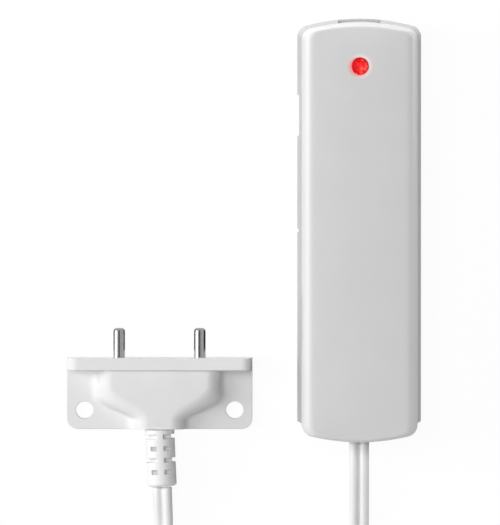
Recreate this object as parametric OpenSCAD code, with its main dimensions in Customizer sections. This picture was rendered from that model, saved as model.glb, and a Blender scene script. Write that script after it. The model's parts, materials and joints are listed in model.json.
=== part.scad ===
// Water leak sensor: a slim wall transmitter and a two-pin probe on a flat twin lead.
// The object lies on its back. X runs across it, Y along it and Z out of its front.

/* [Transmitter case] */
// Length of the rear base along Y
base_l = 115; // [105:1:130]
// Width of the rear base at its back face
base_w = 33.6; // [31:0.2:40]
// Height of the rear base, up to the parting line
base_h = 10.9; // [10.5:0.1:14]
// Lean of the base's side walls, per side
side_draft = 1.0; // [0.4:0.1:1.4]
// Lean of the base's end walls, per end
end_draft = 0.8; // [0.4:0.1:1.4]
// Thickness of the base's walls at the rim
base_wall = 1.8; // [1.4:0.1:2.2]
// Thickness of the base's floor
floor_t = 2.0; // [1.6:0.1:2.4]
// Radius of the bowed ends
end_r = 55; // [45:1:80]
// Corner radius of the case outline
corner_r = 3.2; // [2.4:0.1:4.5]
// Radius of the two wall screw holes
wall_hole_r = 2.1; // [1.6:0.1:2.6]
// Distance between the two wall screw holes
wall_hole_span = 98; // [92:1:99]

/* [Front cover] */
// Height of the closed case
case_h = 25; // [24.5:0.5:32]
// Step of the cover's sides inside the base's rim, per side
cover_step = 0.1; // [0:0.05:0.2]
// Thickness of the cover's side walls
cover_wall = 2.2; // [1.9:0.1:2.6]
// Thickness of the cover's front
cover_t = 2.2; // [1.8:0.1:2.6]
// Edge rounding across the long sides
edge_rx = 3.5; // [2.5:0.1:4]
// Edge rounding across the ends
edge_ry = 2.5; // [1.8:0.1:3.2]
// Crown of the front face across its width
crown = 0.5; // [0.2:0.1:0.8]
// Distance of the indicator from the middle of the case
led_y = 45; // [42:0.2:46]
// Radius of the light pipe
pipe_r = 2.4; // [1.6:0.1:2.6]

/* [Battery and board] */
// Radius of the lithium cell
cell_r = 8.5; // [7:0.1:8.8]
// Length of the lithium cell with its nub
cell_l = 34.5; // [30:0.5:36]
// Gap between the circuit board's edges and the base's walls
board_gap = 0.5; // [0.3:0.05:1.2]
// Thickness of the circuit board
board_t = 1.6; // [1:0.1:1.6]
// Height of the board above the floor
board_lift = 2.0; // [1.5:0.1:2.4]
// Travel of the tamper plunger
tamper_travel = 1.5; // [1:0.1:1.8]
// Travel of the enrol button
button_travel = 0.3; // [0.2:0.05:0.5]

/* [Probe] */
// Width of the probe's plate and flange
probe_w = 50.4; // [48:0.2:60]
// Length of the probe's plate along Y
probe_l = 19.5; // [18.5:0.1:24]
// Thickness of the plate
plate_t = 2.4; // [2:0.1:3]
// Thickness of the flange along Y
flange_t = 3.3; // [2.6:0.1:4]
// Height of the flange above the back face
flange_h = 9.5; // [9:0.1:12]
// Height of the moulded hump above the back face
hump_h = 8.0; // [7.6:0.1:8.8]
// Distance between the probe's screw holes
probe_hole_span = 40.8; // [38:0.2:42]
// Radius of the probe's screw holes
probe_hole_r = 2.35; // [1.8:0.05:2.6]
// Distance between the sensing pins
pin_span = 21.9; // [19:0.1:23]
// Radius of a sensing pin
pin_r = 1.6; // [1.2:0.1:1.8]
// Length of a pin outside the flange
pin_out = 8.1; // [6:0.1:12]
// Radius of the strain relief
relief_r = 4.0; // [3.8:0.1:4.4]
// Length of the strain relief
relief_l = 15.4; // [14.6:0.1:20]
// Lean of the strain relief
relief_lean = 2.5; // [0:0.5:5]
// Distance between the strain relief's rows of pockets
relief_pitch = 3.2; // [2.6:0.1:3.4]

/* [Lead] */
// Diameter of one core of the twin lead
core_d = 2.7; // [2.4:0.1:2.7]
// Turns in each layer of the coil
coil_turns = 4; // [2:1:4]
// Outer radius of the coil's centre line
coil_r = 35; // [34.5:0.1:36]
// Step between neighbouring turns
coil_pitch = 3.2; // [3.1:0.1:3.4]
// Rise between the two layers
coil_rise = 5.9; // [5.8:0.1:6.4]

/* [Clearances] */
// Gap between parts that are put together
fit_gap = 0.1; // [0.05:0.01:0.15]
// Gap at the parting line
part_gap = 0.1; // [0.05:0.01:0.2]
// Gap between the cover's lips and the base's walls
lip_gap = 0.25; // [0.15:0.05:0.4]

/* [Hidden] */

$fn = 48;
// Thickness of the slices that a lofted shell is hulled from
slice_t = 0.02;
// Reach of a cut past the face that it opens
cut = 1;

// Layout: the probe lies left of the transmitter and ends below it
side_gap = 12.2;
probe_drop = 12.06;
total_w = probe_w + side_gap + base_w;
total_l = base_l + probe_drop;
case_x = total_w / 2 - base_w / 2;
case_y = total_l / 2 - base_l / 2;
probe_x = -total_w / 2 + probe_w / 2;
relief_drop = fit_gap + relief_l * cos(relief_lean) + (relief_r - 0.8) * sin(relief_lean);
probe_y = -total_l / 2 + relief_drop;

// Case outlines at the rim, and the inside of the base
rim_w = base_w - 2 * side_draft;
rim_l = base_l - 2 * end_draft;
pocket_w = rim_w - 2 * base_wall;
pocket_l = rim_l - 2 * base_wall;
pocket_end_r = end_r - base_wall;
cover_w = rim_w - 2 * cover_step;
cover_l = rim_l;
cover_z = base_h + part_gap;
cover_end_wall = cover_wall + 0.4;
edge_rz = 3.2;
// Reach from an end over which the crown rises
crown_run = 8.8;
// The cover rocks on the rounded lower edge of its bottom end
rock_r = 0.6;
bead_r = rock_r + 0.1;
bead_w = 9;
hinge_y = -cover_l / 2 + rock_r;
hinge_z = cover_z + rock_r;
roof_z = case_h - cover_t;

// Lower corners of the base, set back behind the cover's sides
foot_in = 0.1;
foot_r = corner_r + 1.8;
foot_end = base_l / 2 - 5.6;

// Lips of the cover inside the base's walls
lip_low = -36;
lip_top = 44;
lip_t = 1.15;
lip_deep = 1.3;
// Grip recess and pry notch in the left side
grip_low = 24.9;
grip_top = 36.8;
grip_deep = 0.5;
grip_slope = 1.0;
notch_r = 0.5;

// Latch at the top end
tab_w = 11.6;
tab_slot = 0.9;
tab_recess = 0.5;
// Hooks at the bottom end: their inner edge, width and barb height
hook_x = 4.6;
hook_w = 3.8;
hook_y = pocket_l / 2 - 1.0;
barb_top = hinge_z - 3.0;
barb_h = 1.2;
barb_y = cover_l / 2 - 1.5;

// Wall screw holes, counted from the middle of the case
hole_y_top = pocket_l / 2 - 3.9;
hole_y_low = hole_y_top - wall_hole_span;
sink_r = wall_hole_r + 1.3;
sink_h = 0.8;

// Board and what stands on it
board_w = pocket_w - 2 * board_gap;
board_z = floor_t + board_lift;
deck_z = board_z + board_t;
board_y0 = -40;
board_y1 = 47.5;
post_x = board_w / 2 - 3.2;
post_r = 2.5;
screw_r = 1.1;
screw_head_r = 2.0;
screw_head_h = 1.4;
screw_y_top = 44.5;
screw_y_low = -33;
screw_spots = [[-post_x, screw_y_top], [post_x, screw_y_low]];
rest_spots = [[post_x, screw_y_top], [-post_x, screw_y_low]];
cell_y = 2;
cell_z = floor_t + 0.6 + cell_r;
nub_r = 3.2;
nub_l = 1.0;
cell_top = cell_y + cell_l / 2;
cell_low = cell_y - cell_l / 2;
clip_t = 0.4;
clip_foot = 5;
window_w = 2 * cell_r - 1;
saddle_w = window_w - 2;
switch_w = 6;
switch_in = 4.5;
switch_y = -25;
tamper_at = [board_w / 2 - switch_in, switch_y];
enrol_at = [-board_w / 2 + switch_in, switch_y];
tamper_h = 4.4;
enrol_h = 3.5;
plunger_r = 1.5;
plunger_top = deck_z + tamper_h + 2.0;
button_r = 1.6;
button_top = deck_z + enrol_h + 1.3;

// Radio can, chips and antenna above the cell, counted from the board's edges
can = [13, 10, 2.2];
can_in = 2.5;
can_y = 25.5;
can_vent_r = 0.5;
can_vent_step = 2.5;
cpu_w = 5;
cpu_h = 0.9;
cpu_gap = 2;
cpu_x = -board_w / 2 + can_in + can[0] + cpu_gap;
cpu_y = 31;
xtal = [5, 3.2, 0.4];
xtal_lid = 1.3;
xtal_rim = 0.2;
xtal_y = 38.4;
chip = [1.6, 0.8, 0.6];
chip_step = 2.4;
chip_y_low = 38;
chip_y_top = 41;
tant = [1.2, 2.4, 1.2];
tant_in = 1.9;
tant_y = -20;
tant_step = 8;
ant_in = 0.9;
ant_w = 2;
ant_t = 0.4;
ant_h = 4;
ant_y = 23;
ant_l = 22;
ant_leg = 3.5;

// Terminal block at the lower end of the board
block = [10.2, 8, 9];
block_y = board_y0;
way_x = 2.54;
way_r = 1.4;
way_z = deck_z + 2.8;
well_r = 1.95;
well_z = deck_z + 4.6;
well_y = block_y + 4;
tscrew_r = 1.8;
tscrew_h = 2;
tscrew_lift = 0.3;
tscrew_slot = 0.6;
tscrew_deep = 0.8;

// Cable entry in the base's bottom end
entry_z = 5.2;
lead_w = 2 * core_d;
entry_y = -base_l / 2 + end_draft * entry_z / base_h - fit_gap;
wire_r = 0.9;
jacket_cut = 9.5;
jacket_end = block_y - jacket_cut;
rib_l = 2;
rib_back = 0.5;
wire_gap = 0.3;
wire_in = 1.3;

// Probe hump: foot and flat half-widths where it is full, and at the plate's lower edge
hump_foot = 16.9;
hump_flat = 12.6;
neck_foot = 7.2;
neck_flat = 2.9;
// Heights along the plate between which the foot and the flat widen, and how early they do
foot_y0 = 2.4;
foot_y1 = 9.8;
foot_skew = 1.4;
flat_y0 = 3.6;
flat_y1 = 11.8;
flat_skew = 1.0;
hump_dip = 0.5;
hump_sink = 1.0;
hump_rows = 18;
hump_cols = 10;
probe_hole_y = 5.15;
pin_z = 5;
pin_in = 9;
pin_edge = 1.0;
plate_corner = 3.0;
soft_lap = 0.5;
flange_corner = 3.0;

// Strain relief: its axis height, core and pockets
relief_z = 4.2;
relief_core_x = 3.0;
relief_core_z = 1.9;
relief_rib = 0.9;
relief_web = 2.6;
relief_slot = 1.2;
relief_first = 1.9;
relief_edge = 0.8;

// Lead: points [x, y, z, roll] of its two runs, with roll 0 where it lies flat
lead_sides = 8;
run_a = [
    [31.3, -51.2, 5.2, 0], [31.3, -57, 5.1, 0], [31.3, -63, 4.4, 0], [31.3, -69, 3.2, 0],
    [31.3, -75, 2.1, 0], [31.3, -81, 1.7, 5], [31.3, -87, 2.1, 20], [31.3, -93, 2.5, 40],
    [31.3, -99, 2.8, 62], [31.3, -105, 3.2, 80], [31.3, -110, 3.5, 90], [31.3, -114.6, 3.6, 90]
];
run_b = [
    [-22.2, -63.6, 4.2, 145], [-22, -69, 4.2, 145], [-21.8, -75, 4, 140], [-22.2, -81, 3.7, 130],
    [-24, -87, 3.6, 118], [-27.5, -92.5, 3.9, 106], [-31.8, -97, 4.8, 96], [-35.4, -101.5, 6.2, 90],
    [-37.7, -106, 8, 90], [-38.6, -110.5, 9.3, 90], [-38.7, -114.6, 9.5, 90]
];
coil_at = [-3.7, -120, 3.6];
coil_rings = 24;
coil_lead = 5.4;
tie_t = 0.6;
tie_w = 2.5;
tie_gap = 0.25;

// Points of an outline with bowed ends: the upper half, then its half-turn copy
function bow_half(w, l, r, c, phi, yc) = concat(
    [for (i = [0:8]) [w / 2 - c + c * cos(phi * i / 8), yc + c * sin(phi * i / 8)]],
    [for (i = [1:13]) let (a = phi + (180 - 2 * phi) * i / 14) [r * cos(a), l / 2 - r + r * sin(a)]],
    [for (i = [0:8]) let (a = 180 - phi + phi * i / 8) [-w / 2 + c + c * cos(a), yc + c * sin(a)]]
);
function bow_lift(w, r, c) = sqrt(pow(r - c, 2) - pow(w / 2 - c, 2));
function bow_upper(w, l, r, c) =
    bow_half(w, l, r, c, atan2(bow_lift(w, r, c), w / 2 - c), l / 2 - r + bow_lift(w, r, c));
function bow_outline(w, l, r, c) =
    let (half = bow_upper(w, l, r, c)) concat(half, [for (p = half) -p]);

// Surface of a tube from rings of points, all with n points, closed at both ends
function tube_faces(rings, n) = concat(
    [[for (j = [0:n - 1]) n - 1 - j]],
    [for (i = [0:rings - 2]) for (j = [0:n - 1]) let (k = (j + 1) % n)
        [i * n + j, i * n + k, (i + 1) * n + k]],
    [for (i = [0:rings - 2]) for (j = [0:n - 1]) let (k = (j + 1) % n)
        [i * n + j, (i + 1) * n + k, (i + 1) * n + j]],
    [[for (j = [0:n - 1]) (rings - 1) * n + j]]
);

// Section of the twin lead: two cores side by side, drawn in between them
function lead_section(d) = [
    [d, 0], [0.7 * d, 0.48 * d], [0, 0.2 * d], [-0.7 * d, 0.48 * d],
    [-d, 0], [-0.7 * d, -0.48 * d], [0, -0.2 * d], [0.7 * d, -0.48 * d]
];
// One ring of the lead at p, heading along the flat angle a, turned about its axis by roll
function lead_ring(p, a, roll) =
    let (side = [sin(a), -cos(a), 0], up = [0, 0, 1])
    [for (q = lead_section(core_d))
        p + side * (q[0] * cos(roll) - q[1] * sin(roll)) + up * (q[0] * sin(roll) + q[1] * cos(roll))];
function step_angle(a, b) = atan2(b[1] - a[1], b[0] - a[0]);
function run_angle(pts, i) =
    i == 0 ? step_angle(pts[0], pts[1]) :
    i == len(pts) - 1 ? -90 :
    step_angle(pts[i - 1], pts[i + 1]);
function run_points(pts) = [for (i = [0:len(pts) - 1])
    each lead_ring([pts[i][0], pts[i][1], pts[i][2]], run_angle(pts, i), pts[i][3])];

// Coil: radius and height after t turns; the lead steps in, climbs and steps out half a turn each
coil_inner = coil_r - coil_turns * coil_pitch;
coil_total = 2 * coil_turns + 1.5;
function coil_radius(t) =
    t <= coil_turns ? coil_r - t * coil_pitch :
    t <= coil_turns + 0.5 ? coil_inner - (t - coil_turns) * 2 * coil_pitch :
    t <= coil_turns + 1 ? coil_inner - coil_pitch :
    t <= coil_turns + 1.5 ? coil_inner - coil_pitch + (t - coil_turns - 1) * 2 * coil_pitch :
    coil_inner + (t - coil_turns - 1.5) * coil_pitch;
function coil_height(t) =
    let (s = min(1, max(0, (t - coil_turns - 0.5) * 2))) coil_rise * s;
function coil_ring(t) =
    let (a = -360 * t, r = coil_radius(t))
    lead_ring(coil_at + [r * cos(a), r * sin(a), coil_height(t)], a - 90, 90);
coil_count = coil_total * coil_rings;
coil_sections = [for (i = [0:coil_count]) coil_ring(i / coil_rings)];
coil_start = lead_ring(coil_at + [coil_r, coil_lead, 0], -90, 90);
coil_end = lead_ring(coil_at + [-coil_r, coil_lead, coil_rise], 90, 90);
// Least distance between the points of rings that lie one or more turns apart
coil_gap = min([for (i = [0:coil_count - coil_rings])
    for (j = [i + coil_rings:coil_rings:coil_count])
        for (p = coil_sections[i]) for (q = coil_sections[j]) norm(p - q)]);

module in_case() {
    translate([case_x, case_y, 0]) children();
}

module in_probe() {
    translate([probe_x, probe_y, 0]) children();
}

module bow_slice(z, w, l, r, c) {
    translate([0, 0, z]) linear_extrude(slice_t) polygon(bow_outline(w, l, r, c));
}

module mirror_x() {
    children();
    mirror([1, 0, 0]) children();
}

// A block between two corners
module span(a, b) {
    translate(a) cube(b - a);
}

// Rear base: a drafted tray with the wall screw holes, posts, saddles and the latch tab
module base_shell() {
    linear_extrude(0.6) polygon(bow_outline(base_w, base_l, end_r, corner_r));
    hull() {
        bow_slice(0.5, base_w, base_l, end_r, corner_r);
        bow_slice(base_h - slice_t, rim_w, rim_l, end_r, corner_r);
    }
}

module base_pocket() {
    translate([0, 0, floor_t]) linear_extrude(base_h)
        polygon(bow_outline(pocket_w, pocket_l, pocket_end_r, corner_r - 1));
}

module base_cuts() {
    // Wall screw holes with a countersink on the inside
    for (y = [hole_y_top, hole_y_low]) {
        translate([0, y, -cut]) cylinder(r = wall_hole_r, h = floor_t + 2 * cut);
        translate([0, y, floor_t - sink_h]) cylinder(r1 = wall_hole_r, r2 = sink_r, h = sink_h + 0.01);
    }
    // Relief slots that free the latch tab, and the recess in its outer face
    mirror_x() span([tab_w / 2 - tab_slot, pocket_l / 2 - 2, 4], [tab_w / 2, base_l / 2 + cut, base_h + cut]);
    span([-tab_w / 2, rim_l / 2 - tab_recess + 0.2, 2.6], [tab_w / 2, base_l / 2 + cut, base_h - 1.5]);
    // Pockets for the cover's hooks
    mirror_x() span(
        [hook_x - 0.4, -barb_y - 0.4, barb_top - barb_h - 0.3],
        [hook_x + hook_w + 0.4, -pocket_l / 2 + 2, barb_top + 0.7]);
    // Cable entry in the lower end
    span([-lead_w / 2 - 0.2, -base_l / 2 - cut, entry_z - core_d / 2 - 0.2],
        [lead_w / 2 + 0.2, -pocket_l / 2 + cut, entry_z + core_d / 2 + 0.2]);
    // Rocking groove for the cover's bead
    translate([-bead_w / 2 - 0.3, hinge_y, hinge_z]) rotate([0, 90, 0])
        cylinder(r = bead_r + fit_gap, h = bead_w + 0.6);
    // Lower corners, where the sides end and the cover overhangs
    difference() {
        span([-base_w / 2 - cut, -base_l / 2 - cut, -cut], [base_w / 2 + cut, -foot_end, base_h + cut]);
        translate([0, 0, -2 * cut]) linear_extrude(base_h + 4 * cut)
            polygon(bow_outline(cover_w - 2 * foot_in, base_l + 0.4, end_r, foot_r));
    }
    // Grip recess and pry notch in the left side
    translate([0, 0, -cut]) linear_extrude(base_h + 2 * cut) polygon([
        [-base_w / 2 - cut, grip_low], [-base_w / 2 + grip_deep, grip_low + grip_slope],
        [-base_w / 2 + grip_deep, grip_top], [-base_w / 2 - cut, grip_top]]);
    translate([-base_w / 2, 0, -cut]) cylinder(r = notch_r, h = base_h + 2 * cut);
}

module saddle(y) {
    difference() {
        span([-saddle_w / 2, y - 1, floor_t - 0.2], [saddle_w / 2, y + 1, deck_z - 0.2]);
        translate([0, y - 2, cell_z]) rotate([-90, 0, 0]) cylinder(r = cell_r + 0.2, h = 4);
    }
}

module base_posts() {
    for (p = screw_spots) translate([p[0], p[1], floor_t - 0.2]) difference() {
        cylinder(r = post_r, h = board_lift + 0.2);
        translate([0, 0, 0.4]) cylinder(r = screw_r + 0.05, h = board_lift + cut);
    }
    for (p = rest_spots) translate([p[0], p[1], floor_t - 0.2]) cylinder(r = post_r, h = board_lift + 0.2);
    for (s = [-1, 1]) saddle(cell_y + s * cell_l * 0.3);
    // Ribs that hold the lead between the entry and the terminals
    mirror_x() span([lead_w / 2 + 0.25, jacket_end - rib_back - rib_l, floor_t - 0.2],
        [lead_w / 2 + 1.45, jacket_end - rib_back, entry_z + core_d / 2]);
    // Barb on the inside of the latch tab
    span([-3, pocket_l / 2 - 0.4, base_h - 1.9], [3, pocket_l / 2 + 0.3, base_h - 0.9]);
}

module rear_base() {
    color("whitesmoke") in_case() {
        difference() {
            base_shell();
            base_pocket();
            base_cuts();
        }
        base_posts();
    }
}

// Front cover: a crowned shell, rounded on every outer edge, with lips, hooks and a latch tongue
module cover_skin() {
    hull() {
        for (i = [0:3]) let (a = 30 * i)
            bow_slice(hinge_z - rock_r * cos(a), cover_w - 2 * rock_r * (1 - sin(a)),
                cover_l - 2 * rock_r * (1 - sin(a)), end_r, corner_r);
        for (i = [0:6]) let (a = 15 * i)
            bow_slice(case_h - crown - edge_rz * (1 - sin(a)) - slice_t,
                cover_w - 0.2 - 2 * edge_rx * (1 - cos(a)),
                cover_l - 0.2 - 2 * edge_ry * (1 - cos(a)), end_r, corner_r - 1.5 * (1 - cos(a)));
        for (i = [1:4]) let (u = 1 - i / 4.4)
            bow_slice(case_h - crown * u * u - slice_t, (cover_w - 2 * edge_rx) * u,
                cover_l - 2 * edge_ry - 2 * crown_run * (1 - u), end_r, 1.6 * u);
    }
}

module cover_hollow() {
    hull() {
        bow_slice(cover_z - cut, cover_w - 2 * cover_wall, cover_l - 2 * cover_end_wall,
            end_r - cover_end_wall, corner_r - 1);
        bow_slice(case_h - crown - edge_rz, cover_w - 2 * cover_wall, cover_l - 2 * cover_end_wall,
            end_r - cover_end_wall, corner_r - 1);
        bow_slice(roof_z - slice_t, cover_w - 2 * cover_wall - 3, cover_l - 2 * cover_end_wall - 2,
            end_r - cover_end_wall, corner_r - 1);
    }
}

module cover_inside() {
    // Lips along both sides, just inside the base's walls
    mirror_x() span([pocket_w / 2 - lip_gap - lip_t, lip_low, base_h - lip_deep],
        [pocket_w / 2 - lip_gap, lip_top, cover_z + 1.6]);
    // Hooks at the lower end: root, tongue and barb
    mirror_x() {
        span([hook_x, -hook_y - 0.7, cover_z + 0.8], [hook_x + hook_w, -hook_y + 1.2, cover_z + 3]);
        span([hook_x, -hook_y, barb_top - barb_h - 0.2], [hook_x + hook_w, -hook_y + 1.2, cover_z + 3]);
        span([hook_x, -barb_y, barb_top - barb_h], [hook_x + hook_w, -hook_y + 0.3, barb_top]);
    }
    // Latch tongue at the upper end, with the pocket that takes the tab's barb
    difference() {
        union() {
            span([-4.6, pocket_l / 2 - 1.6, cover_z + 0.8], [4.6, pocket_l / 2 + 0.1, cover_z + 3]);
            span([-4.6, pocket_l / 2 - 1.6, base_h - 2.7], [4.6, pocket_l / 2 - 0.5, cover_z + 3]);
        }
        span([-3.4, pocket_l / 2 - 1.1, base_h - 2.2], [3.4, pocket_l / 2, base_h - 0.6]);
    }
    // Boss round the light pipe, and the post over the tamper plunger
    translate([0, led_y, roof_z - 3.8]) cylinder(r = pipe_r + 1.5, h = 4.6);
    translate([tamper_at[0], tamper_at[1], plunger_top + fit_gap])
        cylinder(r = 2, h = roof_z + 0.6 - plunger_top - fit_gap);
    // Ribs that keep the cell in its saddles
    for (s = [-1, 1]) difference() {
        span([-6, cell_y + s * 9 - 0.8, cell_z + cell_r - 1.5], [6, cell_y + s * 9 + 0.8, roof_z + 0.6]);
        translate([0, cell_y + s * 9 - 2, cell_z]) rotate([-90, 0, 0]) cylinder(r = cell_r + 0.4, h = 4);
    }
    // Bead that rocks in the base's rim
    translate([-bead_w / 2, hinge_y, hinge_z]) rotate([0, 90, 0]) cylinder(r = bead_r, h = bead_w);
}

module front_cover() {
    color("gainsboro") in_case() difference() {
        union() {
            difference() {
                cover_skin();
                cover_hollow();
            }
            cover_inside();
        }
        translate([0, led_y, roof_z - 5]) cylinder(r = pipe_r + 0.05, h = 10);
    }
}

module light_pipe() {
    color("red") in_case() translate([0, led_y, 0]) rotate_extrude() polygon([
        [0, deck_z + 4.4], [pipe_r - 0.3, deck_z + 4.4], [pipe_r, deck_z + 4.7], [pipe_r, roof_z - 4.7],
        [pipe_r + 1, roof_z - 4.7], [pipe_r + 1, roof_z - 3.9], [pipe_r, roof_z - 3.9],
        [pipe_r, case_h - 0.05], [pipe_r - 0.4, case_h + 0.12], [0, case_h + 0.2]]);
}

// Inside: the board and what it carries
module circuit_board() {
    color("seagreen") in_case() difference() {
        span([-board_w / 2, board_y0, board_z], [board_w / 2, board_y1, deck_z]);
        span([-window_w / 2, cell_low - 0.8, board_z - cut], [window_w / 2, cell_top + 0.6, deck_z + cut]);
        for (p = screw_spots) translate([p[0], p[1], board_z - cut])
            cylinder(r = screw_r + 0.2, h = board_t + 2 * cut);
    }
}

module board_screws() {
    color("silver") in_case() for (p = screw_spots) translate([p[0], p[1], 0]) difference() {
        union() {
            translate([0, 0, floor_t + 0.4]) cylinder(r = screw_r, h = deck_z - floor_t);
            translate([0, 0, deck_z]) cylinder(r = screw_head_r, h = screw_head_h);
        }
        span([-0.3, -1.4, deck_z + screw_head_h - 0.6], [0.3, 1.4, deck_z + screw_head_h + cut]);
        span([-1.4, -0.3, deck_z + screw_head_h - 0.6], [1.4, 0.3, deck_z + screw_head_h + cut]);
    }
}

module indicator_led() {
    color("red") in_case() translate([0, led_y, deck_z]) rotate_extrude() polygon([
        [0, 0], [1.9, 0], [1.9, 0.8], [1.5, 0.8], [1.5, 3.2], [1.2, 3.8], [0, 4.1]]);
}

module radio_shield() {
    color("silver") in_case() translate([-board_w / 2 + can_in, can_y, deck_z]) difference() {
        cube(can);
        for (x = [can_vent_step / 2:can_vent_step:can[0]]) for (y = [can_vent_step / 2:can_vent_step:can[1]])
            translate([x, y, can[2] / 2]) cylinder(r = can_vent_r, h = can[2]);
    }
}

module processor_chip() {
    color("dimgray") in_case() translate([cpu_x, cpu_y, deck_z]) difference() {
        cube([cpu_w, cpu_w, cpu_h]);
        translate([0.16 * cpu_w, 0.84 * cpu_w, 0.8 * cpu_h]) cylinder(r = 0.07 * cpu_w, h = cpu_h);
    }
}

module timing_crystal() {
    color("lightgray") in_case() translate([cpu_x, xtal_y, deck_z]) {
        cube(xtal);
        span([xtal_rim, xtal_rim, xtal[2] / 2], [xtal[0] - xtal_rim, xtal[1] - xtal_rim, xtal_lid]);
    }
}

module chip_parts() {
    color("tan") in_case() translate([-board_w / 2, 0, deck_z]) {
        for (i = [0:4]) translate([can_in + chip_step * i, chip_y_low, 0]) cube(chip);
        for (i = [1:3]) translate([can_in + chip_step * i, chip_y_top, 0]) cube(chip);
        for (i = [0:2]) translate([tant_in, tant_y + tant_step * i, 0]) cube(tant);
    }
}

// Stamped antenna: a strip on two legs along the board's edge
module antenna_strip() {
    color("goldenrod") in_case() translate([board_w / 2 - ant_in - ant_w, ant_y, deck_z]) {
        span([0, 0, ant_h - ant_t], [ant_w, ant_l, ant_h]);
        for (y = [0, ant_leg]) span([0, y, 0], [ant_w, y + ant_t, ant_h]);
    }
}

module battery_cell() {
    color("steelblue") in_case() translate([0, cell_low, cell_z]) rotate([-90, 0, 0])
        rotate_extrude() polygon([
        [0, 0], [cell_r - 0.6, 0], [cell_r, 0.6], [cell_r, cell_l - nub_l - 0.6],
        [cell_r - 0.6, cell_l - nub_l], [nub_r, cell_l - nub_l], [nub_r, cell_l - 0.2],
        [nub_r - 0.2, cell_l], [0, cell_l]]);
}

// One cell clip: a foot on the board and an upright that meets the cell's end
module cell_clip(y, s, half) {
    span([-half, s > 0 ? y : y - clip_t, deck_z], [half, s > 0 ? y + clip_t : y, cell_z + 4]);
    span([-half, s > 0 ? y : y - clip_foot, deck_z], [half, s > 0 ? y + clip_foot : y, deck_z + clip_t]);
}

module battery_clip_plus() {
    color("silver") in_case() cell_clip(cell_top + fit_gap, 1, 4);
}

module battery_clip_minus() {
    color("silver") in_case() cell_clip(cell_low - fit_gap, -1, 5);
}

module tamper_switch() {
    color("dimgray") in_case() translate([tamper_at[0], tamper_at[1], deck_z]) difference() {
        span([-switch_w / 2, -switch_w / 2, 0], [switch_w / 2, switch_w / 2, tamper_h]);
        translate([0, 0, 0.6]) cylinder(r = plunger_r + fit_gap, h = tamper_h);
    }
}

// Plunger held down by the cover's post; it rises by its travel when the cover opens
module tamper_plunger() {
    color("ivory") in_case() translate([tamper_at[0], tamper_at[1], 0]) rotate_extrude() polygon([
        [0, plunger_top - tamper_travel - 3.6], [plunger_r, plunger_top - tamper_travel - 3.6],
        [plunger_r, plunger_top - 0.4], [plunger_r - 0.4, plunger_top], [0, plunger_top]]);
}

module enrol_switch() {
    color("dimgray") in_case() translate([enrol_at[0], enrol_at[1], deck_z]) difference() {
        span([-switch_w / 2, -switch_w / 2, 0], [switch_w / 2, switch_w / 2, enrol_h]);
        translate([0, 0, 0.6]) cylinder(r = button_r + fit_gap, h = enrol_h);
    }
}

module enrol_button() {
    color("ivory") in_case() translate([enrol_at[0], enrol_at[1], 0]) rotate_extrude() polygon([
        [0, deck_z + 0.8 + button_travel], [button_r, deck_z + 0.8 + button_travel],
        [button_r, button_top - 0.3], [button_r - 0.3, button_top], [0, button_top]]);
}

module terminal_block() {
    color("limegreen") in_case() difference() {
        span([-block[0] / 2, block_y, deck_z], [block[0] / 2, block_y + block[1], deck_z + block[2]]);
        for (s = [-1, 1]) {
            translate([s * way_x, block_y - cut, way_z]) rotate([-90, 0, 0])
                cylinder(r = way_r, h = block[1] - 1 + cut);
            translate([s * way_x, well_y, way_z]) cylinder(r = 1.1, h = block[2]);
            translate([s * way_x, well_y, well_z]) cylinder(r = well_r, h = block[2]);
        }
    }
}

module terminal_clamps() {
    color("silver") in_case() for (s = [-1, 1])
        span([s * way_x - 0.9, well_y - 1.5, way_z + 0.45], [s * way_x + 0.9, well_y + 1.5, way_z + 0.95]);
}

module terminal_screws() {
    color("silver") in_case() for (s = [-1, 1]) translate([s * way_x, well_y, 0]) difference() {
        union() {
            translate([0, 0, way_z + 1.1]) cylinder(r = 1, h = well_z - way_z);
            translate([0, 0, well_z + tscrew_lift]) cylinder(r = tscrew_r, h = tscrew_h);
        }
        span([-tscrew_slot / 2, -tscrew_r, well_z + tscrew_lift + tscrew_h - tscrew_deep],
            [tscrew_slot / 2, tscrew_r, well_z + tscrew_lift + tscrew_h + cut]);
    }
}

// A straight round strand from a to b
module strand(a, b, r) {
    d = b - a;
    translate(a) rotate([0, acos(d[2] / norm(d)), atan2(d[1], d[0])]) cylinder(r = r, h = norm(d));
}

// End of the lead inside the case, with its two cores led up to the terminals
module cable_tail() {
    color("white") in_case() {
        translate([0, jacket_end, entry_z]) rotate([90, 0, 0]) linear_extrude(jacket_end - entry_y)
            polygon(lead_section(core_d));
        for (s = [-1, 1])
            strand([s * core_d / 2, jacket_end + wire_gap, entry_z],
                [s * way_x, block_y + wire_in, way_z], wire_r);
    }
}

// Probe: plate, flange and a hump that narrows in an S-curve towards the lead
function ease(t) = let (u = min(1, max(0, t))) u * u * (3 - 2 * u);
function widen(t, skew) = ease(1 - pow(1 - min(1, max(0, t)), skew));
function hump_section(y) =
    let (
        w = neck_foot + (hump_foot - neck_foot) * widen((y - foot_y0) / (foot_y1 - foot_y0), foot_skew),
        f = neck_flat + (hump_flat - neck_flat) * widen((y - flat_y0) / (flat_y1 - flat_y0), flat_skew),
        h = hump_h - hump_dip * pow(1 - min(1, y / flat_y1), 2) - plate_t,
        arc = [for (i = [0:hump_cols]) let (a = 90 * i / hump_cols)
            [f + (w - f) * cos(a), y, plate_t + h * sin(a)]]
    )
    concat([[w, y, plate_t - hump_sink]], arc,
        [for (i = [0:hump_cols]) let (p = arc[hump_cols - i]) [-p[0], p[1], p[2]]],
        [[-w, y, plate_t - hump_sink]]);

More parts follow.
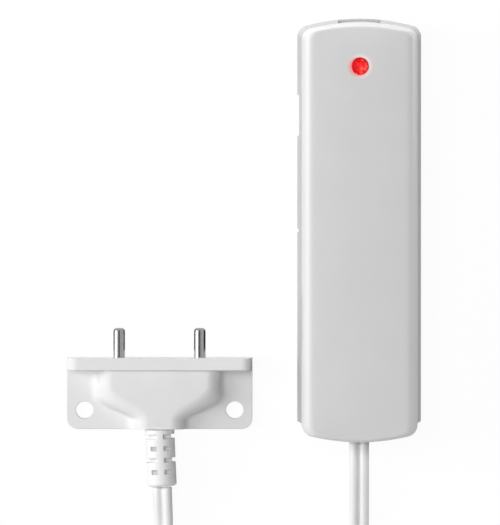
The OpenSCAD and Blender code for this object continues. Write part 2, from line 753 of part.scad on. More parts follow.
module probe_hump() {
    top = probe_l - flange_t + 0.5;
    rows = concat(
        [fit_gap, foot_y0 / 2],
        [for (i = [0:hump_rows]) foot_y0 + (flat_y1 - foot_y0) * i / hump_rows],
        [for (i = [1:2]) flat_y1 + (top - flat_y1) * i / 2]);
    polyhedron(points = [for (y = rows) each hump_section(y)],
        faces = tube_faces(len(rows), 2 * hump_cols + 4), convexity = 4);
}

// Outline with rounded corners at the low and the high end of its second axis
module soft_rect(x, y0, y1, low, high) {
    translate([-x, y0 + low]) square([2 * x, y1 - high - y0 - low]);
    if (low > 0) {
        translate([low - x, y0]) square([2 * (x - low), low + soft_lap]);
        for (s = [-1, 1]) translate([s * (x - low), y0 + low]) circle(r = low);
    }
    if (high > 0) {
        translate([high - x, y1 - high - soft_lap]) square([2 * (x - high), high + soft_lap]);
        for (s = [-1, 1]) translate([s * (x - high), y1 - high]) circle(r = high);
    }
}

module probe_housing() {
    color("whitesmoke") in_probe() difference() {
        union() {
            linear_extrude(plate_t)
                soft_rect(probe_w / 2, 0, probe_l - flange_t + 0.5, plate_corner, 0);
            translate([0, probe_l, 0]) rotate([90, 0, 0]) linear_extrude(flange_t)
                soft_rect(probe_w / 2, 0, flange_h, 0, flange_corner);
            probe_hump();
        }
        for (s = [-1, 1]) {
            translate([s * probe_hole_span / 2, probe_hole_y, -cut])
                cylinder(r = probe_hole_r, h = plate_t + 2 * cut);
            translate([s * pin_span / 2, probe_l - pin_in, pin_z]) rotate([-90, 0, 0])
                cylinder(r = pin_r + 0.05, h = pin_in + cut);
        }
    }
}

module probe_pin(s) {
    reach = pin_in + pin_out - fit_gap;
    color("silver") in_probe() translate([s * pin_span / 2, probe_l - pin_in + fit_gap, pin_z])
        rotate([-90, 0, 0]) rotate_extrude() polygon(concat(
            [[0, 0], [pin_r, 0]],
            [for (i = [0:6]) [pin_r - pin_edge + pin_edge * cos(15 * i),
                reach - pin_edge + pin_edge * sin(15 * i)]],
            [[0, reach]]));
}

module probe_pin_left() {
    probe_pin(-1);
}

module probe_pin_right() {
    probe_pin(1);
}

// Cuts of one row of pockets, in the relief's own frame with its axis along Z
module relief_row(s, open_sides) {
    outer = open_sides ? relief_r + cut : relief_web;
    for (m = [0, 1]) for (n = [0, 1]) mirror([m, 0, 0]) mirror([0, n, 0])
        span([relief_rib, relief_core_z, s - relief_slot / 2], [outer, relief_r + cut, s + relief_slot / 2]);
    if (open_sides) mirror_x()
        span([relief_core_x, -relief_r - cut, s - relief_slot / 2],
            [relief_r + cut, relief_r + cut, s + relief_slot / 2]);
}

module probe_strain_relief() {
    color("whitesmoke") in_probe() difference() {
        translate([0, 0, relief_z]) rotate([0, 0, relief_lean]) rotate([90, 0, 0]) difference() {
            translate([0, 0, -0.6]) rotate_extrude() polygon(concat(
                [[0, 0], [relief_r, 0]],
                [for (i = [0:6]) [relief_r - relief_edge + relief_edge * cos(15 * i),
                    relief_l + 0.6 - relief_edge + relief_edge * sin(15 * i)]],
                [[0, relief_l + 0.6]]));
            for (k = [0:3]) relief_row(relief_first + relief_pitch * k, k % 2 == 0);
        }
        span([-20, -fit_gap, -20], [20, 20, 30]);
    }
}

// Lead: the run at the transmitter, the coil with its tie and the run at the probe
module cable_transmitter_run() {
    color("white") polyhedron(points = run_points(run_a),
        faces = tube_faces(len(run_a), lead_sides), convexity = 6);
}

module cable_probe_run() {
    color("white") polyhedron(points = run_points(run_b),
        faces = tube_faces(len(run_b), lead_sides), convexity = 6);
}

module cable_coil() {
    echo(least_gap_between_turns = coil_gap);
    color("white") polyhedron(
        points = concat(coil_start, [for (ring = coil_sections) each ring], coil_end),
        faces = tube_faces(len(coil_sections) + 2, lead_sides), convexity = 20);
}

module cable_tie() {
    inner_r = coil_inner - coil_pitch - core_d / 2 - tie_gap;
    outer_r = coil_r + core_d / 2 + tie_gap;
    half = (outer_r - inner_r) / 2;
    low = coil_at[2] - core_d - tie_gap;
    high = coil_at[2] + coil_rise + core_d + tie_gap;
    color("white") translate([coil_at[0] - tie_w / 2, coil_at[1] - (inner_r + outer_r) / 2, 0])
        rotate([90, 0, 90]) linear_extrude(tie_w) difference() {
            soft_rect(half + tie_t, low - tie_t, high + tie_t, 2 * tie_t, 2 * tie_t);
            soft_rect(half, low, high, tie_t, tie_t);
        }
}

rear_base();
front_cover();
light_pipe();
indicator_led();
circuit_board();
radio_shield();
processor_chip();
timing_crystal();
chip_parts();
antenna_strip();
battery_cell();
battery_clip_plus();
battery_clip_minus();
tamper_switch();
tamper_plunger();
enrol_switch();
enrol_button();
terminal_block();
terminal_clamps();
terminal_screws();
board_screws();
cable_tail();
probe_housing();
probe_pin_left();
probe_pin_right();
probe_strain_relief();
cable_transmitter_run();
cable_coil();
cable_probe_run();
cable_tie();
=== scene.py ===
# %% [markdown]
# # A water leak sensor, dressed for a studio photograph
#
# The sensor is a slim white transmitter and a two-pin probe, joined by a flat twin lead. The frame
# holds its solids at their true size. This lesson gives each of them its surface: shells that are
# smooth where the solids have facets, a lead that is one unbroken sweep, and finishes built from nodes.

# %% Load the frame
import json

import bpy
import numpy as np
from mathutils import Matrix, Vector


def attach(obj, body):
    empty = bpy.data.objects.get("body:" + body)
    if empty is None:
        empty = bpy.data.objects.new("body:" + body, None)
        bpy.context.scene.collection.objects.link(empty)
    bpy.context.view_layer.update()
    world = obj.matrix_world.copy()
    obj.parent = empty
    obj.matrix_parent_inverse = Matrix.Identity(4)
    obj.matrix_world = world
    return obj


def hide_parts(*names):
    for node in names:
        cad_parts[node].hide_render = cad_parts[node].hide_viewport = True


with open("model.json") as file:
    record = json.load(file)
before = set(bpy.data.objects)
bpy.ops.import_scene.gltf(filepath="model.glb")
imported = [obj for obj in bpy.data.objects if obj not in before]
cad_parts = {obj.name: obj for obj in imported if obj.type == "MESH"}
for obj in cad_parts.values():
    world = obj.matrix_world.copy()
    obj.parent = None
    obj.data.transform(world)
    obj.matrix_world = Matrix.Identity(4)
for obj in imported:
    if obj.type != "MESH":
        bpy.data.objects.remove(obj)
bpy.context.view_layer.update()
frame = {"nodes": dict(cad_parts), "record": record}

# %% [markdown]
# ## The sizes that the surfaces share
#
# Every surface below is worked out in millimetres, in the same frame as the solids: X runs across the
# object, Y along it and Z out of its front. Two small helpers place the transmitter and the probe.

# %% Sizes in millimetres
MM = 0.001
CASE = np.array([31.3, 6.03, 0.0])
PROBE = np.array([-22.9, -47.905, 0.0])
COVER_W, COVER_L = 31.4, 113.4
COVER_Z, CASE_H = 11.0, 25.0
END_R, CORNER_R = 55.0, 3.2
LED_Y, LENS_R = 45.0, 2.4


def in_case(points):
    """Points of the transmitter's own frame, moved to where it lies."""
    return points + CASE


def in_probe(points):
    """Points of the probe's own frame, moved to where it lies."""
    return points + PROBE


# %% [markdown]
# ## From a grid of points to a mesh
#
# A surface is a table of points: rows run along one parameter and columns along the other. Its faces
# join each point to its right and upper neighbours, so whole arrays of indices are enough and no loop
# over the points is needed. The columns wrap round, so each row is a closed ring, and the first and last
# rows can be closed with a face each.

# %% Grid helpers
def grid_faces(rows, cols):
    """Quads of a rows x cols grid of rings: point (i, j) joins (i, k), (i+1, k) and (i+1, j), where k is
    the next column and the last column joins the first."""
    i = np.arange(rows - 1)[:, None]
    j = np.arange(cols)[None, :]
    k = (j + 1) % cols
    corners = [i * cols + j, i * cols + k, (i + 1) * cols + k, (i + 1) * cols + j]
    return np.stack(corners, -1).reshape(-1, 4)


def make_piece(name, points, faces, smooth=True):
    """A mesh object from points in millimetres and lists of corner numbers."""
    mesh = bpy.data.meshes.new(name)
    mesh.from_pydata((np.asarray(points) * MM).tolist(), [], [list(map(int, f)) for f in faces])
    mesh.update()
    mesh.polygons.foreach_set("use_smooth", np.full(len(mesh.polygons), smooth))
    piece = bpy.data.objects.new(name, mesh)
    bpy.context.scene.collection.objects.link(piece)
    return piece


class Shape:
    """Collects several grids, each a table of points, into one mesh."""

    def __init__(self):
        self.points, self.faces, self.count = [], [], 0

    def add(self, points, faces):
        """Takes in points, and faces whose corner numbers count from the first of these points."""
        points = np.asarray(points, float).reshape(-1, 3)
        self.points.append(points)
        self.faces += [[int(c) + self.count for c in f] for f in faces]
        self.count += len(points)
        return self

    def grid(self, table, start_cap=False, end_cap=False, flip=False):
        """A table of rows x cols points; flip turns the faces to the other side."""
        rows, cols = table.shape[:2]
        faces = grid_faces(rows, cols)
        faces = (faces[:, ::-1] if flip else faces).tolist()
        first, last = list(range(cols)), list(range((rows - 1) * cols, rows * cols))
        if start_cap:
            faces.append(first if flip else first[::-1])
        if end_cap:
            faces.append(last[::-1] if flip else last)
        return self.add(table, faces)

    def piece(self, name):
        """All of the grids so far, as one mesh object."""
        return make_piece(name, np.concatenate(self.points), self.faces)


print("grid helpers ready:", grid_faces(3, 4).shape[0], "quads on a 3 x 4 tube")

# %% [markdown]
# ## The camera
#
# The picture looks straight down on the sensor through a long lens, leaning two degrees so that the
# latch end of the transmitter just shows. A lens this long keeps the sides parallel, as the picture
# does, and is still a true perspective camera that other views can move.

# %% Camera
FRAME_H, SENSOR = 142.3, 36.0
AIM = np.array([1.65, -2.46, 8.0])
LEAN, DISTANCE = np.radians(2.0), 3000.0


def add_camera():
    """A camera DISTANCE away from AIM, along Z leaned by LEAN towards +Y, that frames FRAME_H."""
    data = bpy.data.cameras.new("studio_camera")
    data.sensor_fit, data.sensor_height, data.sensor_width = "AUTO", SENSOR, SENSOR
    data.lens = SENSOR * DISTANCE / FRAME_H
    data.clip_start, data.clip_end = 0.1, 20.0
    camera = bpy.data.objects.new("studio_camera", data)
    bpy.context.scene.collection.objects.link(camera)
    away = np.array([0.0, np.sin(LEAN), np.cos(LEAN)]) * DISTANCE
    camera.location = (AIM + away) * MM
    camera.rotation_euler = (-LEAN, 0.0, 0.0)
    bpy.context.scene.camera = camera
    return camera


camera = add_camera()
bpy.context.scene.view_settings.view_transform = "Standard"
print("lens", round(camera.data.lens), "mm at", round(DISTANCE / 1000, 2), "m")

# %% [markdown]
# ## Node maths that reads like maths
#
# A finish is a small formula over the surface. Wrapping a socket in a class with the usual operators
# lets that formula be written as Python, and each operator adds one Math node. Every other node comes
# from one method, which takes its type, its settings and what goes into its sockets.

# %% A socket with operators
class Field:
    """A node socket that can be added, multiplied and so on."""

    def __init__(self, tree, socket):
        self.tree, self.socket = tree, socket

    def node(self, kind, settings=None, inputs=None, out=0):
        """A new node with these settings and inputs; its output number out is the field returned."""
        node = self.tree.nodes.new(kind)
        for key, value in (settings or {}).items():
            if key == "stops":
                ramp = node.color_ramp
                while len(ramp.elements) < len(value):
                    ramp.elements.new(0.5)
                for element, (place, colour) in zip(ramp.elements, value):
                    element.position, element.color = place, (*colour, 1.0)
            else:
                setattr(node, key, value)
        for key, value in (inputs or {}).items():
            if isinstance(value, Field):
                self.tree.links.new(value.socket, node.inputs[key])
            else:
                node.inputs[key].default_value = value
        return Field(self.tree, node.outputs[out])

    def maths(self, operation, a, b=0.0, clamp=False):
        """One Math node over a and b."""
        return self.node("ShaderNodeMath", {"operation": operation, "use_clamp": clamp}, {0: a, 1: b})

    def __add__(self, other):
        return self.maths("ADD", self, other)

    def __radd__(self, other):
        return self.maths("ADD", other, self)

    def __sub__(self, other):
        return self.maths("SUBTRACT", self, other)

    def __rsub__(self, other):
        return self.maths("SUBTRACT", other, self)

    def __mul__(self, other):
        return self.maths("MULTIPLY", self, other)

    def __rmul__(self, other):
        return self.maths("MULTIPLY", other, self)

    def clamped(self):
        """This value, held between 0 and 1."""
        return self.maths("ADD", self, 0.0, clamp=True)

    def ramp(self, stops):
        """A colour that follows this value through a list of (place, colour) stops."""
        return self.node("ShaderNodeValToRGB", {"stops": stops}, {"Fac": self})

    def noise(self, scale, detail=2.0, rough=0.5):
        """Noise over these coordinates, with scale in waves per metre."""
        inputs = {"Vector": self, "Scale": scale, "Detail": detail, "Roughness": rough}
        return self.node("ShaderNodeTexNoise", {}, inputs)


def mix_colours(share, a, b):
    """Colour a turned towards colour b by share."""
    return share.node("ShaderNodeMix", {"data_type": "RGBA"}, {0: share, 6: a, 7: b}, out=2)


def new_finish(name):
    """An empty material with its shader, and the piece's own coordinates in metres."""
    material = bpy.data.materials.new(name)
    material.use_nodes = True
    tree = material.node_tree
    shader = tree.nodes["Principled BSDF"]
    place = Field(tree, tree.nodes.new("ShaderNodeTexCoord").outputs["Object"])
    return material, shader, place


def connect(shader, **fields):
    """Links fields to the shader's sockets, with _ for a space in a socket's name."""
    for key, field in fields.items():
        field.tree.links.new(field.socket, shader.inputs[key.replace("_", " ")])


def constants(shader, **values):
    """Sets plain values on the shader's own sockets."""
    for key, value in values.items():
        shader.inputs[key.replace("_", " ")].default_value = value


def bump_from(height, strength, depth_mm):
    """A normal tilted by a height field that spans depth_mm."""
    inputs = {"Height": height, "Strength": strength, "Distance": depth_mm * MM}
    return height.node("ShaderNodeBump", {}, inputs)


print("node helpers ready")

# %% [markdown]
# ## The twin lead
#
# The lead is two round cores side by side, moulded into one jacket. Its route has three stretches: down
# from the transmitter, round a tied coil, and up to the probe. A Catmull-Rom curve runs through the
# points of the two free stretches, and the coil is a spiral whose radius and height are functions of
# the turn, so the whole lead is one path. One profile carried along that path makes one unbroken sweep.

# %% Route of the lead
# Each point is X, Y, Z and the lead's roll in degrees.
RUN_A = np.array([
    [31.3, -51.2, 5.2, 0], [31.3, -57, 5.1, 0], [31.3, -63, 4.4, 0], [31.3, -69, 3.2, 0],
    [31.3, -75, 2.1, 0], [31.3, -81, 1.7, 5], [31.3, -87, 2.1, 20], [31.3, -93, 2.5, 40],
    [31.3, -99, 2.8, 62], [31.3, -105, 3.2, 80], [31.3, -110, 3.5, 90], [31.3, -114.6, 3.6, 90]])
RUN_B = np.array([
    [-22.2, -63.6, 4.2, 160], [-22, -69, 4.2, 160], [-21.8, -75, 4, 152], [-22.2, -81, 3.7, 136],
    [-24, -87, 3.6, 120], [-27.5, -92.5, 3.9, 106], [-31.8, -97, 4.8, 96], [-35.4, -101.5, 6.2, 90],
    [-37.7, -106, 8, 90], [-38.6, -110.5, 9.3, 90], [-38.7, -114.6, 9.5, 90]])
RUN_STEPS = 6
COIL_AT = np.array([-3.7, -120.0, 3.6])
COIL_R, COIL_PITCH, COIL_RISE, COIL_TURNS = 35.0, 3.2, 5.9, 4
EASE_REACH, EASE_HELD = 6, 8
CORE_R, WEB_ANGLE = 1.35, 20.0


def through(points, steps):
    """A Catmull-Rom curve: between points 1 and 2 it is the cubic whose end slopes are half of the
    differences 2-0 and 3-1. The end points are repeated by reflection."""
    ends = np.vstack([2 * points[0] - points[1], points, 2 * points[-1] - points[-2]])
    p0, p1, p2, p3 = (ends[k:len(ends) - 3 + k, None, :] for k in range(4))
    t = (np.arange(steps) / steps)[None, :, None]
    curve = p1 + 0.5 * t * (p2 - p0 + t * (2 * p0 - 5 * p1 + 4 * p2 - p3 + t * (3 * (p1 - p2) + p3 - p0)))
    return np.vstack([curve.reshape(-1, points.shape[1]), points[-1]])


def eased(values, reach):
    """A running mean over reach samples each side, with the ends held."""
    padded = np.concatenate([np.full(reach, values[0]), values, np.full(reach, values[-1])])
    return np.convolve(padded, np.ones(2 * reach + 1) / (2 * reach + 1), "valid")


def coil_path(per_turn=48):
    """The coil spirals in on its lower layer, steps in, climbs and steps out half a turn each, and
    spirals out on its upper layer. Angle falls by a turn per turn, so it winds clockwise from above."""
    n, inner = COIL_TURNS, COIL_R - COIL_TURNS * COIL_PITCH
    t = np.arange(int((2 * n + 1.5) * per_turn) + 1) / per_turn
    radius = np.interp(t, [0, n, n + 0.5, n + 1, n + 1.5, 2 * n + 1.5],
                       [COIL_R, inner, inner - COIL_PITCH, inner - COIL_PITCH, inner, COIL_R])
    rise = COIL_RISE * np.interp(t, [n + 0.5, n + 1], [0, 1])
    radius[EASE_HELD:-EASE_HELD] = eased(radius, EASE_REACH)[EASE_HELD:-EASE_HELD]
    rise = eased(rise, EASE_REACH)
    angle = -2 * np.pi * t
    return np.stack([COIL_AT[0] + radius * np.cos(angle), COIL_AT[1] + radius * np.sin(angle),
                     COIL_AT[2] + rise, np.full(t.shape, 90.0)], -1)


run_a, run_b = through(RUN_A, RUN_STEPS), through(RUN_B, RUN_STEPS)
lead_path = np.vstack([run_a, coil_path(), run_b[::-1]])

# %% Sweep of the lead
def twin_profile(n=14):
    """Two circles of radius CORE_R side by side, open where the web of the jacket joins them."""
    a = np.radians(np.linspace(WEB_ANGLE - 180.0, 180.0 - WEB_ANGLE, n))
    lobe = np.stack([CORE_R + CORE_R * np.cos(a), CORE_R * np.sin(a)], -1)
    return np.vstack([lobe, -lobe])


def sweep_lead(path, profile):
    """Each ring is the profile on two axes: the level side of the heading and the vertical, both turned
    about the heading by the ring's roll."""
    heading = np.gradient(path[:, :2], axis=0)
    heading /= np.linalg.norm(heading, axis=1, keepdims=True)
    side = np.stack([heading[:, 1], -heading[:, 0], np.zeros(len(path))], -1)
    up = np.array([0.0, 0.0, 1.0])
    roll = np.radians(path[:, 3])[:, None]
    wide = side * np.cos(roll) + up * np.sin(roll)
    thick = up * np.cos(roll) - side * np.sin(roll)
    across, over = profile[None, :, :1], profile[None, :, 1:]
    return path[:, None, :3] + across * wide[:, None] + over * thick[:, None]


# On the way back to the probe the heading is reversed, so the roll is reversed with it.
lead_path[-len(run_b):, 3] = 180.0 - lead_path[-len(run_b):, 3]
lead_rows = sweep_lead(lead_path, twin_profile())
lead = Shape().grid(lead_rows, start_cap=True, end_cap=True, flip=True).piece("lead")
print("lead faces:", len(lead.data.polygons))

# %% [markdown]
# ## The cover's shell
#
# The cover is an injection-moulded shell: bowed ends, rounded corners, a soft edge and a front that is
# crowned by half a millimetre. A box with bevels can't hold that crown, so the shell is a stack of
# outlines. Each row of the grid is one closed outline, and the rows run from the middle of the inside,
# down the inner wall, round the rim, up the outer wall and over the edge to the middle of the front.

# %% Outline of the case
CORNER_STEPS, END_STEPS, SIDE_STEPS = 13, 34, 26


def bow_outline(width, length, end_r, corner):
    """A closed outline: end arcs of radius end_r joined to straight sides by tangent corner arcs. The
    corner's centre lies end_r - corner from the end arc's centre, so the two arcs share a tangent."""
    lift = np.sqrt((end_r - corner) ** 2 - (width / 2 - corner) ** 2)
    phi = np.arctan2(lift, width / 2 - corner)
    turn = np.linspace(0, phi, CORNER_STEPS)
    sweep = np.linspace(phi, np.pi - phi, END_STEPS)[1:-1]
    middle = length / 2 - end_r
    right = np.stack([width / 2 - corner + corner * np.cos(turn),
                      middle + lift + corner * np.sin(turn)], -1)
    arc = np.stack([end_r * np.cos(sweep), middle + end_r * np.sin(sweep)], -1)
    left = right[::-1] * [-1, 1]
    side_y = np.linspace(left[-1, 1], -left[-1, 1], SIDE_STEPS)[1:-1]
    side = np.stack([np.full(side_y.shape, -width / 2), side_y], -1)
    half = np.vstack([right, arc, left, side])
    return np.vstack([half, -half])


def outline_row(z, width, length, corner, end_r=END_R):
    """One row of a shell: the outline at height z."""
    flat = bow_outline(width, length, end_r, corner)
    return np.column_stack([flat, np.full(len(flat), z)])


# %% Rows of the shell
# The soft edge's half axes, where it stops, and how much the corners tighten over it
EDGE_RX, EDGE_RY, EDGE_RZ, EDGE_STOP, CORNER_EASE = 3.5, 1.1, 3.2, np.radians(84.9), 1.5
CROWN, CROWN_RUN, ROCK_R = 0.5, 8.8, 0.6
COVER_WALL, COVER_END_WALL, ROOF_Z = 2.2, 2.6, 22.8
# The inside's corners, and how far the fillet under the roof draws the outline in
INNER_CORNER, ROOF_CORNER, ROOF_IN_X, ROOF_IN_Y, ROOF_RUN = 2.2, 2.0, 3.0, 2.0, 40.0
# The outer wall is narrower by DRAFT where the edge begins.
DRAFT, EDGE_LOW = 0.2, CASE_H - CROWN - EDGE_RZ


def inside_rows():
    """From the middle of the roof to its border, round the inner fillet, and down to the rim."""
    width, length, end_r = COVER_W - 2 * COVER_WALL, COVER_L - 2 * COVER_END_WALL, END_R - COVER_END_WALL
    rows = []
    for u in (0.05, 0.5, 1.0):
        run = length - ROOF_IN_Y - ROOF_RUN * (1 - u)
        rows.append(outline_row(ROOF_Z, (width - ROOF_IN_X) * u, run, ROOF_CORNER * u, end_r))
    for a in np.radians([70, 50, 30, 15, 0]):
        z, inset = EDGE_LOW + (ROOF_Z - EDGE_LOW) * np.sin(a), 1 - np.cos(a)
        across, along = width - ROOF_IN_X * inset, length - ROOF_IN_Y * inset
        rows.append(outline_row(z, across, along, INNER_CORNER, end_r))
    rows.append(outline_row(COVER_Z, width, length, INNER_CORNER, end_r))
    return rows


def rim_rows():
    """The rounded lower border that the cover rocks on."""
    rows = []
    for a in np.radians(np.linspace(0, 90, 7)):
        z, inset = COVER_Z + ROCK_R * (1 - np.cos(a)), ROCK_R * (1 - np.sin(a))
        rows.append(outline_row(z, COVER_W - 2 * inset, COVER_L - 2 * inset, CORNER_R))
    return rows


def front_rows():
    """The edge is an ellipse that stops where its slope meets the crown's. The crown is a product of two
    parabolas: one across the width, and one that rises over CROWN_RUN from each end."""
    rows = []
    for a in np.linspace(0, EDGE_STOP, 15):
        z, inset = EDGE_LOW + EDGE_RZ * np.sin(a), 1 - np.cos(a)
        width, length = COVER_W - DRAFT - 2 * EDGE_RX * inset, COVER_L - DRAFT - 2 * EDGE_RY * inset
        corner = CORNER_R - CORNER_EASE * inset
        rows.append(outline_row(z, width, length, corner))
    for u in np.linspace(1, 0.02, 20)[1:]:
        row = outline_row(z, width * u, length - 2 * CROWN_RUN * (1 - u), corner * u)
        from_end = length / 2 - END_R + np.sqrt(END_R ** 2 - row[:, 0] ** 2) - np.abs(row[:, 1])
        across = 1 - (2 * row[:, 0] / width) ** 2
        row[:, 2] += (CASE_H - z) * across * (1 - (1 - np.clip(from_end / CROWN_RUN, 0, 1)) ** 2)
        rows.append(row)
    return rows


cover_rows = np.array(inside_rows() + rim_rows() + front_rows())
print("cover shell:", cover_rows.shape[:2], "points, top", cover_rows[..., 2].max())

# %% [markdown]
# ## Small solids: blocks and turned parts
#
# The cover's inside has ribs, hooks and posts, and the probe has turned pins. A block is four rings of a
# rounded rectangle, drawn in at both ends so that its edges catch light. A turned part is a profile of
# radius and height carried round a circle.

# %% Blocks and turned parts
def block_rows(low, high, soft=0.15, arc=4):
    """Rings of a rounded rectangle: drawn in by most of soft at both ends of Z, and full between them."""
    low, high = np.array(low, float), np.array(high, float)
    quarter = np.linspace(0, np.pi / 2, arc)
    angles = np.concatenate([quarter + k * np.pi / 2 for k in range(4)])
    signs = np.repeat([[1, 1], [-1, 1], [-1, -1], [1, -1]], arc, axis=0)
    middle, half = (low + high)[:2] / 2, (high - low)[:2] / 2
    rows = []
    for z, inset in ((low[2], soft), (low[2] + soft, 0), (high[2] - soft, 0), (high[2], soft)):
        round_off = (soft - 0.9 * inset) * np.stack([np.cos(angles), np.sin(angles)], -1)
        ring = middle + signs * (half - soft) + round_off
        rows.append(np.column_stack([ring, np.full(len(ring), z)]))
    return np.array(rows)


def turned_rows(profile, n=48):
    """Rows of radius r at height h, each carried round Z in n steps."""
    a = np.linspace(0, 2 * np.pi, n, endpoint=False)
    r, h = np.array(profile, float).T
    return np.stack([r[:, None] * np.cos(a), r[:, None] * np.sin(a), np.repeat(h[:, None], n, 1)], -1)


def along_y(rows):
    """Turns a shape that stands along Z so that it lies along Y."""
    return np.stack([rows[..., 0], rows[..., 2], -rows[..., 1]], -1)


def along_x(rows):
    """Turns a shape that stands along Z so that it lies along X."""
    return np.stack([rows[..., 2], rows[..., 1], -rows[..., 0]], -1)


def crisp(piece, degrees=35):
    """Keeps edges sharper than this angle as edges, and smooths the rest."""
    piece.data.set_sharp_from_angle(angle=np.radians(degrees))
    return piece


print("block:", block_rows((0, 0, 0), (1, 1, 1)).shape, "turned:", turned_rows([(1, 0), (1, 1)]).shape)

# %% [markdown]
# ## The cover with its inside
#
# Behind the front are the lips that sit inside the base's walls, two hooks, the latch tongue, a boss
# round the light pipe, the tamper post and two ribs over the cell. They are separate grids in the same
# mesh, rooted in the shell, as the moulding has them.

# %% Cover
# Boxes are a low and a high corner in the transmitter's frame. The lip and the hook have a twin at -X.
ROOT_Z, ROOF_ROOT_Z = 14.0, 23.2
LIP = [((12.6, -36, 9.6), (13.75, 44, 12.6))]
HOOK = [((4.6, -54.6, 11.8), (8.4, -52.7, ROOT_Z)), ((4.6, -53.9, 7.2), (8.4, -52.7, ROOT_Z)),
        ((4.6, -55.2, 7.4), (8.4, -53.6, 8.6))]
TONGUE = [((-4.6, 53.3, 11.8), (4.6, 55.0, ROOT_Z)), ((-4.6, 53.3, 8.2), (4.6, 53.8, ROOT_Z)),
          ((-4.6, 53.3, 10.35), (4.6, 54.4, ROOT_Z)), ((-4.6, 53.3, 8.2), (4.6, 54.4, 8.7))]
CELL_Y, RIB_OUT, RIB_HALF_W, RIB_HALF_T, RIB_Z = 2.0, 9.0, 6.0, 0.8, 20.2
# Profiles are radius and height. The boss's radii are counted from the lens's own.
BOSS = [(0.05, ROOF_ROOT_Z), (0.05, 19.0), (1.3, 19.0), (1.5, 19.2), (1.5, ROOF_ROOT_Z)]
POST, POST_AT = [(1.7, 12.1), (2.0, 12.4), (2.0, ROOF_ROOT_Z)], [9, -25, 0]
BEAD, BEAD_AT = [(0.55, -4.5), (0.7, -4.3), (0.7, 4.3), (0.55, 4.5)], [0, -56.1, 11.6]


def on_side(box, s):
    """A box as it is where s is 1, and its twin across X where s is -1."""
    (x0, y0, z0), (x1, y1, z1) = box
    x0, x1 = sorted((s * x0, s * x1))
    return (x0, y0, z0), (x1, y1, z1)


def cover_inside(shape):
    """Adds the lips, hooks, ribs, tongue, boss, post and rocking bead to the shell."""
    blocks = []
    for s in (-1, 1):
        rib_y = CELL_Y + s * RIB_OUT
        rib_low = (-RIB_HALF_W, rib_y - RIB_HALF_T, RIB_Z)
        rib_high = (RIB_HALF_W, rib_y + RIB_HALF_T, ROOF_ROOT_Z)
        blocks += [on_side(box, s) for box in LIP + HOOK]
        blocks.append((rib_low, rib_high))
    for low, high in blocks + TONGUE:
        shape.grid(block_rows(low, high), start_cap=True, end_cap=True)
    boss = turned_rows(np.array(BOSS) + [LENS_R, 0]) + [0, LED_Y, 0]
    shape.grid(boss[::-1], flip=True)
    shape.grid(turned_rows(POST, 32) + POST_AT, start_cap=True, end_cap=True)
    bead = along_x(turned_rows(BEAD, 24)) + BEAD_AT
    return shape.grid(bead, start_cap=True, end_cap=True)


cover = cover_inside(Shape().grid(cover_rows, start_cap=True, end_cap=True))
cover.points = [in_case(p) for p in cover.points]
cover = crisp(cover.piece("cover_shell"))
print("cover faces:", len(cover.data.polygons))

# %% [markdown]
# ## The lens, the pins and the tie
#
# The lens is the end of a red light pipe: a turned part with a dished top, a rounded rim and a shoulder
# inside the cover. The sensing pins are turned from stainless rod, with a rounded tip. The tie is a flat
# band round the bundle of turns, a rounded rectangle carried across the band's width.

# %% Lens and pins
AXIS_R = 0.02
PIPE_FOOT, FOOT_SOFT, SHOULDER_LOW, SHOULDER_HIGH, SHOULDER_OUT = 10.0, 0.3, 18.1, 18.9, 1.0
RIM_R, RIM_RISE, RIM_Z, DISH = 0.35, 0.3, 24.85, 0.12
PIN_R, PIN_TIP_R, PIN_FLAT_R, PIN_FOOT, PIN_END = 1.6, 1.0, 0.3, 10.6, 27.6
PIN_X, PIN_Z = 10.95, 5.0


def lens_profile():
    """Foot, stem and shoulder of the pipe, then a rim that rolls over into a shallow dish."""
    roll = np.radians(np.linspace(0, 90, 7))
    edge, top = LENS_R - RIM_R, RIM_Z + RIM_RISE
    rim = np.stack([edge + RIM_R * np.cos(roll), RIM_Z + RIM_RISE * np.sin(roll)], -1)
    dish = [(r * edge, top - DISH * (1 - r * r)) for r in (0.8, 0.55, 0.3, 0.01)]
    stem = np.array([(-FOOT_SOFT, PIPE_FOOT), (0, PIPE_FOOT + FOOT_SOFT),
                     (0, SHOULDER_LOW), (SHOULDER_OUT, SHOULDER_LOW),
                     (SHOULDER_OUT, SHOULDER_HIGH), (0, SHOULDER_HIGH)]) + [LENS_R, 0]
    return [(AXIS_R, PIPE_FOOT), *stem, *rim, *dish]


def pin_profile():
    """A rod from its blind end to a rounded tip."""
    roll = np.radians(np.linspace(0, 90, 10))
    tip = np.stack([PIN_R - PIN_TIP_R + PIN_TIP_R * np.cos(roll),
                    PIN_END - PIN_TIP_R + PIN_TIP_R * np.sin(roll)], -1)
    return [(AXIS_R, PIN_FOOT), (PIN_R, PIN_FOOT), *tip, (PIN_FLAT_R, PIN_END), (AXIS_R, PIN_END)]


lens_rows = in_case(turned_rows(lens_profile(), 64) + [0, LED_Y, 0])
lens = crisp(Shape().grid(lens_rows, start_cap=True, end_cap=True).piece("lens"))
pins = {}
for name, s in (("probe_pin_left", -1), ("probe_pin_right", 1)):
    rows = in_probe(along_y(turned_rows(pin_profile(), 64)) + [s * PIN_X, 0, PIN_Z])
    pins[name] = crisp(Shape().grid(rows, start_cap=True, end_cap=True).piece(name + "_turned"))
print("turned parts:", 1 + len(pins))

# %% Tie
TIE_HALF_W, TIE_T, TIE_SOFT, TIE_GAP, TIE_CORNER = 1.25, 0.6, 0.1, 0.25, 0.6


